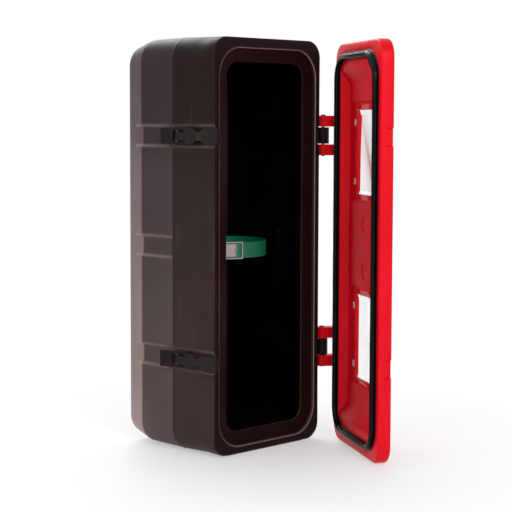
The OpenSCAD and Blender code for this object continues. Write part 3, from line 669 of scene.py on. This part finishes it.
door = Surface()
rim = door.add(on_door(np.stack(rim_rows)))
door.grid(rim)
drop = np.zeros((len(tray_z) - 1, len(tray_x) - 1), bool)
i0, i1 = [int(np.argmin(np.abs(tray_x - s * WINDOW_HALF_W))) for s in (-1, 1)]
loops = []
for window in (UPPER_WINDOW, LOWER_WINDOW):
    j0, j1 = [int(np.argmin(np.abs(tray_z - window - s * WINDOW_HALF_H))) for s in (-1, 1)]
    drop[j0:j1, i0:i1] = True
    rows, cols = rim_loop(j0, j1, i0, i1)
    gx[rows, cols], gz[rows, cols] = round_hole(gx[rows, cols], gz[rows, cols], window,
                                                WINDOW_HALF_W, WINDOW_HALF_H, WINDOW_R)
    loops.append((window, rows, cols))
tray = door.add(on_door(np.stack([gx, FLANGE - depth, gz + DOOR_Z], -1)))
door.grid(tray, close_u=False, drop=drop)
face_holes = []
for window, rows, cols in loops:
    walls = [tray[rows, cols]]
    for extra, y in ((0.0, PAN - 0.6), (0.0, FACE + 0.9), (0.25, FACE + 0.3), (0.9, FACE)):
        x, z = round_hole(gx[rows, cols], gz[rows, cols], window,
                          WINDOW_HALF_W, WINDOW_HALF_H, WINDOW_R, extra)
        walls.append(door.add(on_door(np.column_stack([x, np.full(len(x), y), z + DOOR_Z]))))
    door.grid(np.stack(walls))
    face_holes.append(walls[-1])
rows, cols = rim_loop(0, len(tray_z) - 1, 0, len(tray_x) - 1)
door.cap(rim[-1], [tray[rows, cols]])
door.cap(rim[0], face_holes)
door_body = door.build("door_body")
fit(door_body, "door", "door_plastic", "door_shell")

# %% [markdown]
# The door's knuckles are moulded in one with it. Seen from above each is an arm that leaves the
# rim's edge, turns a round corner and ends in a bored eye. An outline with that shape is
# extruded, and a Bevel modifier rounds its rims.

# %% Door knuckles
KNUCKLE_R, KNUCKLE_H, EAR_H, KNUCKLE_GAP, PIN_R, PIN_FIT = 12.0, 33.0, 22.0, 1.5, 3.0, 0.08
ARM_MARGIN, ARM_ROOT = 6.0, 10.0


def arc_points(cx, cy, r, start_deg, end_deg, n):
    """Points of an arc: centre + r * (cos, sin) of an even angle."""
    a = np.radians(np.linspace(start_deg, end_deg, n))
    return np.column_stack([cx + r * np.cos(a), cy + r * np.sin(a)])


def bevel(piece, width, segments=3, limit_deg=35):
    """Rounds the edges that are sharper than the limit."""
    modifier = piece.modifiers.new("soft edges", "BEVEL")
    modifier.width = width * MM
    modifier.segments = segments
    modifier.limit_method = "ANGLE"
    modifier.angle_limit = math.radians(limit_deg)
    modifier.harden_normals = False


root_x = DOOR_HALF_W - ARM_ROOT
ear_outline = np.concatenate([
    [(root_x, FLANGE - ARM_MARGIN)],
    arc_points(HINGE_X - KNUCKLE_R - 5, FLANGE - ARM_MARGIN + 5, 5, -90, 0, 7),
    arc_points(HINGE_X, HINGE_Y, KNUCKLE_R, 180, 0, 25),
    arc_points(HINGE_X + KNUCKLE_R - 11, FACE + ARM_MARGIN + 11, 11, 0, -90, 9),
    [(root_x, FACE + ARM_MARGIN)]])
bore = arc_points(HINGE_X, HINGE_Y, PIN_R + PIN_FIT, 0, 345, 24)
for name, line in (("upper_door_knuckles", UPPER_LINE), ("lower_door_knuckles", LOWER_LINE)):
    knuckles = Surface()
    for s in (-1, 1):
        middle = line + s * (KNUCKLE_H / 2 + KNUCKLE_GAP + EAR_H / 2)
        knuckles.prism(ear_outline, middle - EAR_H / 2, middle + EAR_H / 2, on_door, [bore])
    piece = knuckles.build(name)
    bevel(piece, 1.4)
    fit(piece, "door", "door_plastic", "door_shell")

# %% [markdown]
# The seal is one extruded rubber section, laid round the flange and joined at the bottom. Its
# foot lies in the groove, and its hollow bulb carries two shiny ridges. Rubber never lies quite
# true: the top run has slipped down a little, most of all near its free corner, where it also
# leans inwards. A small kink and waves run along it.

# %% Seal
SEAL_H, BULB_R, SEAL_FOOT_HALF, SEAL_FOOT = 11.0, 5.5, 7.0, 2.0
bulb_angle = np.radians(np.linspace(-38, 218, 33))
ridge = 1 - 0.16 * np.exp(-(np.degrees(bulb_angle - np.pi / 2) / 13) ** 2)
bulb = np.column_stack([BULB_R * ridge * np.cos(bulb_angle),
                        SEAL_H - BULB_R + BULB_R * ridge * np.sin(bulb_angle)])
foot = np.array([(4.6, SEAL_FOOT), (6.4, 1.8), (SEAL_FOOT_HALF, 1.1), (6.8, 0.0), (3.0, 0.0),
                 (-3.0, 0.0), (-6.8, 0.0), (-SEAL_FOOT_HALF, 1.1), (-6.4, 1.8), (-4.6, SEAL_FOOT)])
section = np.concatenate([bulb, foot[::-1]])

seal_half_w, seal_half_h = DOOR_HALF_W - SEAL_INSET, DOOR_HALF_H - SEAL_INSET
seal_side = spread(-seal_half_h + SEAL_R, seal_half_h - SEAL_R, 7)
seal_top = np.linspace(0, 1, 27)
seal_t = (seal_side / seal_side[-1] + 1) / 2
centre_line = ring(seal_half_w, seal_half_h, SEAL_R, seal_t, seal_top)
outer_line = ring(seal_half_w + 1, seal_half_h + 1, SEAL_R + 1, seal_t, seal_top)
outward = outer_line - centre_line
slip = 2.2 * smooth_step((centre_line[:, 1] - seal_half_h + 40) / 30)
free_corner = np.hypot(centre_line[:, 0] + seal_half_w - 18, centre_line[:, 1] - seal_half_h + 14)
slip = slip + 5.0 * np.exp(-(free_corner / 26) ** 2)
kink = 1.6 * np.exp(-((centre_line[:, 0] + 72) / 9) ** 2) * (centre_line[:, 1] > seal_half_h - 30)
inwards = 4.0 * np.exp(-(free_corner / 30) ** 2)
along = np.arange(len(centre_line)) / len(centre_line) * 2 * np.pi
wave = 0.22 * np.sin(17 * along) + 0.15 * np.sin(41 * along + 1.0)
u, v = section.T
lean = (v / SEAL_H)[None, :]
offset = u[None, :] + wave[:, None] * (0.2 + lean)
follow = 0.45 + lean
points_x = centre_line[:, :1] + outward[:, :1] * offset + inwards[:, None] * follow
points_z = centre_line[:, 1:] + outward[:, 1:] * offset - (slip - kink)[:, None] * follow
points_y = FLANGE - GROOVE_DEPTH + 0.1 + v[None, :] + 0 * points_x
seal = Surface()
seal_rows = seal.add(on_door(np.stack([points_x, points_y, points_z + DOOR_Z], -1)))
seal.grid(seal_rows, close_v=True)
seal_piece = seal.build("door_seal_strip", 60)
fit(seal_piece, "door", "seal_rubber", "door_seal")

# %% [markdown]
# The retaining band is a flat strip with round rims, bent to a circle: a section of rounded
# corners carried once round the band's axis.

# %% Retaining band
low, high = [np.array(c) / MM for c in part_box("retaining_band")]
band_x, band_y = (low[:2] + high[:2]) / 2
band_outer_r = (high[0] - low[0]) / 2
BAND_T, BAND_EDGE = 2.4, 0.9
half_h = (high[2] - low[2]) / 2
edge_u, edge_v = BAND_T / 2 - BAND_EDGE, half_h - BAND_EDGE
corners = [(edge_u, edge_v, 0), (-edge_u, edge_v, 90), (-edge_u, -edge_v, 180),
           (edge_u, -edge_v, 270)]
section = np.concatenate([arc_points(cx, cy, BAND_EDGE, a, a + 90, 5) for cx, cy, a in corners])
around = np.linspace(0, 2 * np.pi, 145)[:-1]
radius = band_outer_r - BAND_T / 2 + section[:, 0]
band_surface = Surface()
strip = np.stack([band_x + radius[None, :] * np.cos(around)[:, None],
                  band_y + radius[None, :] * np.sin(around)[:, None],
                  (low[2] + high[2]) / 2 + section[None, :, 1] + 0 * around[:, None]], -1)
band_surface.grid(band_surface.add(strip), close_v=True)
band_strip = band_surface.build("band_strip", 60)
fit(band_strip, "cabinet", "band_green", "retaining_band")

# %% [markdown]
# The small fittings have the right shape already. Each is copied, its loose triangles are
# merged into clean faces, and a Bevel modifier gives it the soft edges that catch the light.


# %% Softened fittings
def soften(node, name, body, slot, width, segments=2, sharp_deg=32):
    """A merged copy of a solid, with its edges rounded by width in millimetres."""
    source = frame["nodes"][node]
    mesh = source.data.copy()
    mesh.transform(source.matrix_world)
    work = bmesh.new()
    work.from_mesh(mesh)
    bmesh.ops.remove_doubles(work, verts=work.verts, dist=1e-6)
    bmesh.ops.dissolve_limit(work, angle_limit=math.radians(0.6), verts=work.verts,
                             edges=work.edges)
    work.to_mesh(mesh)
    work.free()
    mesh.name = name
    mesh.shade_smooth()
    mesh.set_sharp_from_angle(angle=math.radians(sharp_deg))
    piece = bpy.data.objects.new(name, mesh)
    bpy.context.scene.collection.objects.link(piece)
    bevel(piece, width, segments)
    fit(piece, body, slot, node)
    print(name, len(mesh.polygons), "faces before its bevel")


for side in ("upper", "lower"):
    for part, body, slot, width in (
            ("hinge_bracket", "cabinet", "bracket_black", 0.8),
            ("hinge_pin", "cabinet", "pin_steel", 0.5),
            ("latch_base", "cabinet", "latch_black", 0.4),
            ("latch_lever", side + "_lever", "latch_black", 0.7),
            ("latch_link", side + "_link", "latch_black", 0.6),
            ("lever_pin", "cabinet", "pin_steel", 0.3),
            ("link_pin", side + "_lever", "pin_steel", 0.3),
            ("window_pane", "door", "window_clear", 0.5),
            ("window_clips", "door", "clip_plastic", 0.4)):
        node = side + "_" + part
        soften(node, node + "_soft", body, slot, width)
for node, width in (("band_buckle", 0.35), ("band_bracket", 0.4)):
    soften(node, node + "_soft", "cabinet", "buckle_steel", width)

# %% [markdown]
# Materials follow. Each one is a small node tree on Object coordinates: a noise for the colour's
# slow variation, one for the roughness and a fine one for the bump of the moulded grain. Thin
# stretched noises make the handling marks.


# %% Material helpers
def new_material(name):
    """An empty node material and its shader."""
    material = bpy.data.materials.new(name)
    material.use_nodes = True
    nodes, links = material.node_tree.nodes, material.node_tree.links
    shader = nodes["Principled BSDF"]
    coords = nodes.new("ShaderNodeTexCoord")
    return material, nodes, links, shader, coords.outputs["Object"]


def noise(nodes, links, coords, scale, detail=4.0, stretch=(1, 1, 1)):
    """A noise on object coordinates; scale is in cells a metre."""
    mapping = nodes.new("ShaderNodeMapping")
    mapping.inputs["Scale"].default_value = stretch
    links.new(coords, mapping.inputs["Vector"])
    texture = nodes.new("ShaderNodeTexNoise")
    texture.inputs["Scale"].default_value = scale
    texture.inputs["Detail"].default_value = detail
    links.new(mapping.outputs["Vector"], texture.inputs["Vector"])
    return texture.outputs["Fac"]


def ramp(nodes, links, value, stops):
    """A colour ramp over a value; stops are (position, colour)."""
    node = nodes.new("ShaderNodeValToRGB")
    elements = node.color_ramp.elements
    while len(elements) < len(stops):
        elements.new(0.5)
    for element, (place, colour) in zip(elements, stops):
        element.position = place
        element.color = (*colour, 1.0)
    links.new(value, node.inputs["Fac"])
    return node.outputs["Color"]


def scaled(nodes, links, value, low, high, from_low=0.3, from_high=0.7):
    """Maps a value from one range to another, clamped."""
    node = nodes.new("ShaderNodeMapRange")
    node.inputs["From Min"].default_value = from_low
    node.inputs["From Max"].default_value = from_high
    node.inputs["To Min"].default_value = low
    node.inputs["To Max"].default_value = high
    links.new(value, node.inputs["Value"])
    return node.outputs["Result"]


def blended(nodes, links, factor, a, b):
    """Mixes two colours by a factor."""
    node = nodes.new("ShaderNodeMix")
    node.data_type = "RGBA"
    links.new(factor, node.inputs["Factor"])
    for value, socket in ((a, node.inputs[6]), (b, node.inputs[7])):
        if isinstance(value, tuple):
            socket.default_value = (*value, 1.0)
        else:
            links.new(value, socket)
    return node.outputs[2]


def combined(nodes, links, operation, a, b):
    """A Math node on two values."""
    node = nodes.new("ShaderNodeMath")
    node.operation = operation
    for value, socket in ((a, node.inputs[0]), (b, node.inputs[1])):
        if isinstance(value, (int, float)):
            socket.default_value = value
        else:
            links.new(value, socket)
    return node.outputs[0]


def along(nodes, links, coords, axis):
    """One of the three object coordinates, in metres."""
    node = nodes.new("ShaderNodeSeparateXYZ")
    links.new(coords, node.inputs[0])
    return node.outputs[axis]


def bump(nodes, links, shader, layers):
    """Chains bump nodes: layers are (height, strength, distance in metres)."""
    normal = None
    for height, strength, distance in layers:
        node = nodes.new("ShaderNodeBump")
        node.inputs["Strength"].default_value = strength
        node.inputs["Distance"].default_value = distance
        links.new(height, node.inputs["Height"])
        if normal:
            links.new(normal, node.inputs["Normal"])
        normal = node.outputs["Normal"]
    links.new(normal, shader.inputs["Normal"])


def scuffs(nodes, links, coords, lines, patches, strength):
    """Thin upright scuffs in loose patches. lines gives scale, detail, squash, low and high of a
    stretched noise, and patches the scale of the noise that gathers them."""
    scale, detail, squash, low, high = lines
    thin = noise(nodes, links, coords, scale, detail, (1, 1, squash))
    patch = noise(nodes, links, coords, patches, 2)
    return combined(nodes, links, "MULTIPLY", scaled(nodes, links, thin, 0, 1, low, high),
                    scaled(nodes, links, patch, 0, strength, 0.45, 0.65))


def plastic(name, dark, light, rough, grain=700, grain_depth=0.0001, specular=0.5, marks=None):
    """Moulded plastic: cloudy colour, uneven gloss, fine grain, slow waves in the wall, and
    where marks gives their colour, thin upright scuffs."""
    material, nodes, links, shader, coords = new_material(name)
    colour = ramp(nodes, links, noise(nodes, links, coords, 9, 5), [(0.3, dark), (0.7, light)])
    rough_value = scaled(nodes, links, noise(nodes, links, coords, 14, 6), *rough)
    if marks:
        scuff = scuffs(nodes, links, coords, (60, 3, 0.12, 0.60, 0.74), 7, 0.6)
        colour = blended(nodes, links, scuff, colour, marks)
    links.new(colour, shader.inputs["Base Color"])
    links.new(rough_value, shader.inputs["Roughness"])
    shader.inputs["Specular IOR Level"].default_value = specular
    fine = noise(nodes, links, coords, grain, 2)
    wave = noise(nodes, links, coords, 6, 1)
    bump(nodes, links, shader, [(wave, 0.25, 0.002), (fine, 0.25, grain_depth)])
    return material


# %% [markdown]
# The body's black plastic isn't one black. The rear half is painted greyer than the front half,
# and the facet at the back palest: painted light and painted reflection of the bright space
# behind. So its colour follows the depth along Y, and it grows paler down along Z: painted light
# from the floor, together with dust. Slow noise clouds every tone.


# %% Body plastic
# For the front half, the rear half and the facet: the two tones of the cloud at the top, then
# the two at the foot. The paler tones of the rear half and the facet are painted light and
# painted reflection; the paler foot tones are painted light from the floor, with dust.
BODY_TONES_AND_PAINTED_LIGHT = (
    (((0.0085, 0.0035, 0.0033), (0.0120, 0.0052, 0.0050)),
     ((0.038, 0.0220, 0.0205), (0.050, 0.0300, 0.0285))),
    (((0.024, 0.0150, 0.0195), (0.034, 0.0220, 0.0280)),
     ((0.085, 0.060, 0.058), (0.110, 0.078, 0.075))),
    (((0.080, 0.058, 0.072), (0.105, 0.080, 0.096)),
     ((0.30, 0.225, 0.215), (0.37, 0.275, 0.265))))


def body_plastic():
    """Black plastic with painted light on a greyer rear half and a pale facet, painted highlights,
    painted shade at the rim and the cavity, scuffs, specks and grain.
    """
    material, nodes, links, shader, coords = new_material("body_plastic")
    y, z = along(nodes, links, coords, 1), along(nodes, links, coords, 2)
    cloud = noise(nodes, links, coords, 6, 5)
    # Share of the foot tones, growing towards the bottom: painted light from the floor, together
    # with dust.
    low = combined(nodes, links, "ADD", scaled(nodes, links, z, 1, 0, 0.06, 0.74),
                   scaled(nodes, links, noise(nodes, links, coords, 4, 3), -0.08, 0.08))

    def cloudy(dark, light):
        """Two tones, mixed by the slow cloud."""
        return ramp(nodes, links, cloud, [(0.3, dark), (0.7, light)])

    front, rear, facet = [blended(nodes, links, low, cloudy(*upper), cloudy(*foot))
                          for upper, foot in BODY_TONES_AND_PAINTED_LIGHT]
    # Painted light and painted reflection: greyer behind the parting line, palest on the facet.
    past_parting = scaled(nodes, links, y, 0, 1, PARTING * MM, (PARTING + 1) * MM)
    past_facet = scaled(nodes, links, y, 0, 1, (FACET - 1) * MM, (FACET + 4) * MM)
    colour = blended(nodes, links, past_parting, front, rear)
    colour = blended(nodes, links, past_facet, colour, facet)
    scuff = scuffs(nodes, links, coords, (50, 4, 0.15, 0.58, 0.75), 5, 0.35)
    colour = blended(nodes, links, scuff, colour, (0.09, 0.075, 0.075))
    speck = scaled(nodes, links, noise(nodes, links, coords, 420, 1), 0, 0.5, 0.74, 0.80)
    colour = blended(nodes, links, speck, colour, (0.16, 0.14, 0.14))
    painted_highlight, cavity, rim = [nodes.new("ShaderNodeAttribute") for _ in range(3)]
    painted_highlight.attribute_name, cavity.attribute_name, rim.attribute_name = "painted_highlight", "cavity", "rim"
    # Painted shade, with a red cast from the door, on what faces forward at the rim.
    painted_rim_shade = cloudy((0.0075, 0.0022, 0.0022), (0.0135, 0.0042, 0.0042))
    colour = blended(nodes, links, rim.outputs["Fac"], colour, painted_rim_shade)
    # Painted highlight on the step line and the channels' walls.
    colour = blended(nodes, links, painted_highlight.outputs["Fac"], colour, (0.40, 0.28, 0.27))
    # Painted shade: the walls that face the cavity nearly black.
    dark = cloudy((0.0010, 0.0006, 0.0006), (0.0022, 0.0014, 0.0014))
    colour = blended(nodes, links, cavity.outputs["Fac"], colour, dark)
    links.new(colour, shader.inputs["Base Color"])
    gloss = scaled(nodes, links, noise(nodes, links, coords, 12, 6), 0.38, 0.50)
    links.new(gloss, shader.inputs["Roughness"])
    shader.inputs["Specular IOR Level"].default_value = 0.09
    bump(nodes, links, shader, [(noise(nodes, links, coords, 5, 1), 0.35, 0.003),
                                (noise(nodes, links, coords, 90, 3), 0.10, 0.0004),
                                (noise(nodes, links, coords, 800, 2), 0.25, 0.0001)])
    return material


BODY = body_plastic()
BLACK = plastic("fitting_plastic", (0.010, 0.005, 0.005), (0.020, 0.012, 0.012), (0.30, 0.45),
                grain=1200, specular=0.09, marks=(0.10, 0.085, 0.080))
RED = plastic("door_plastic", (0.78, 0.0012, 0.010), (0.88, 0.0025, 0.016), (0.34, 0.46), grain=900,
              grain_depth=0.00005, specular=0.14, marks=(0.9, 0.04, 0.05))
RUBBER = plastic("seal_rubber", (0.0015, 0.0012, 0.0012), (0.004, 0.003, 0.003), (0.14, 0.22),
                 grain=1500, grain_depth=0.00002, specular=0.10)
PIN = plastic("pin_steel", (0.07, 0.06, 0.06), (0.12, 0.11, 0.11), (0.30, 0.42), grain=2000)
STEEL = plastic("buckle_steel", (0.24, 0.20, 0.21), (0.34, 0.29, 0.30), (0.34, 0.46), grain=2000)
GREEN = plastic("band_green", (0.001, 0.13, 0.062), (0.003, 0.19, 0.090), (0.36, 0.48), grain=1500)
CLIP = plastic("clip_plastic", (0.60, 0.50, 0.50), (0.70, 0.60, 0.60), (0.3, 0.4))
CLEAR = plastic("window_clear", (0.93, 0.95, 0.95), (0.97, 0.98, 0.98), (0.03, 0.06), grain=300,
                grain_depth=0.00002)
for metal in (PIN, STEEL):
    metal.node_tree.nodes["Principled BSDF"].inputs["Metallic"].default_value = 1.0
clear_shader = CLEAR.node_tree.nodes["Principled BSDF"]
clear_shader.inputs["Transmission Weight"].default_value = 1.0
clear_shader.inputs["IOR"].default_value = 1.12


# %% Dress every piece
def dress(piece, material):
    """Gives a piece one material."""
    piece.data.materials.clear()
    piece.data.materials.append(material)


FINISH = {"body_plastic": BODY, "door_plastic": RED, "seal_rubber": RUBBER, "window_clear": CLEAR,
          "clip_plastic": CLIP, "bracket_black": BLACK, "latch_black": BLACK, "pin_steel": PIN,
          "band_green": GREEN, "buckle_steel": STEEL}
for part in frame["record"]["subparts"]:
    dress(frame["nodes"][part["node"]], FINISH[part["material_slot"]])
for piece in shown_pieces():
    if "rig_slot" in piece:
        dress(piece, FINISH[piece["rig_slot"]])
print(len(set(FINISH.values())), "materials on", len(FINISH), "slots")

# %% [markdown]
# The set is a pale floor that turns to plain white away from the object, so that no horizon
# shows. The sky is brighter behind the object than in front of it. One broad lamp stands high
# behind, where the rounded top edge reflects it, one in front on the left, one behind on the left.

# %% Floor, world and lamps
floor_mesh = bpy.data.meshes.new("floor")
FLOOR_HALF = 14.0
floor_mesh.from_pydata([(-FLOOR_HALF, -FLOOR_HALF, 0), (FLOOR_HALF, -FLOOR_HALF, 0),
                        (FLOOR_HALF, FLOOR_HALF, 0), (-FLOOR_HALF, FLOOR_HALF, 0)],
                       [], [(0, 1, 2, 3)])
floor = bpy.data.objects.new("floor", floor_mesh)
bpy.context.scene.collection.objects.link(floor)
floor_material, nodes, links, shader, coords = new_material("floor")
pale = ramp(nodes, links, noise(nodes, links, coords, 3),
            [(0.3, (0.90, 0.89, 0.89)), (0.7, (0.92, 0.92, 0.92))])
links.new(pale, shader.inputs["Base Color"])
shader.inputs["Roughness"].default_value = 0.55
dress(floor, floor_material)


def seen_ray(nodes, links):
    """One for rays from the camera, from mirrors and through glass, else nought."""
    path = nodes.new("ShaderNodeLightPath")
    seen = combined(nodes, links, "MAXIMUM", path.outputs["Is Camera Ray"],
                    path.outputs["Is Transmission Ray"])
    return combined(nodes, links, "MAXIMUM", seen, path.outputs["Is Glossy Ray"])


length = nodes.new("ShaderNodeVectorMath")
length.operation = "LENGTH"
links.new(coords, length.inputs[0])
far = scaled(nodes, links, length.outputs["Value"], 0.42, 1, 0.25, 0.8)
far_seen = combined(nodes, links, "MULTIPLY", far, seen_ray(nodes, links))
white = nodes.new("ShaderNodeEmission")
mix = nodes.new("ShaderNodeMixShader")
links.new(far_seen, mix.inputs["Fac"])
links.new(shader.outputs["BSDF"], mix.inputs[1])
links.new(white.outputs["Emission"], mix.inputs[2])
links.new(mix.outputs["Shader"], nodes["Material Output"].inputs["Surface"])

world = bpy.data.worlds.new("world")
bpy.context.scene.world = world
world.use_nodes = True
nodes, links = world.node_tree.nodes, world.node_tree.links
background = nodes["Background"]
direction = nodes.new("ShaderNodeTexCoord")
dot = nodes.new("ShaderNodeVectorMath")
dot.operation = "DOT_PRODUCT"
links.new(direction.outputs["Generated"], dot.inputs[0])
dot.inputs[1].default_value = Vector((0.15, 0.95, 0.28)).normalized()
sky = scaled(nodes, links, dot.outputs["Value"], 0.30, 0.78, -0.2, 0.95)
sky = combined(nodes, links, "MAXIMUM", sky, seen_ray(nodes, links))
links.new(sky, background.inputs["Strength"])
background.inputs["Color"].default_value = (1, 1, 1, 1)


def lamp(name, place, target, size, power):
    """A square area lamp that looks at a point."""
    data = bpy.data.lights.new(name, "AREA")
    data.size = size
    data.energy = power
    light = bpy.data.objects.new(name, data)
    bpy.context.scene.collection.objects.link(light)
    light.location = place
    light.rotation_euler = (Vector(target) - Vector(place)).to_track_quat("-Z", "Y").to_euler()


MIDDLE = (0.0, -0.1, 0.4)
lamp("overhead", (0.9, 2.1, 2.6), MIDDLE, 1.8, 52)
lamp("front_left", (-1.5, -3.0, 1.9), MIDDLE, 1.4, 52)
lamp("back_left", (-3.0, 0.6, 1.9), MIDDLE, 1.2, 20)

bpy.context.scene.view_settings.view_transform = "Standard"
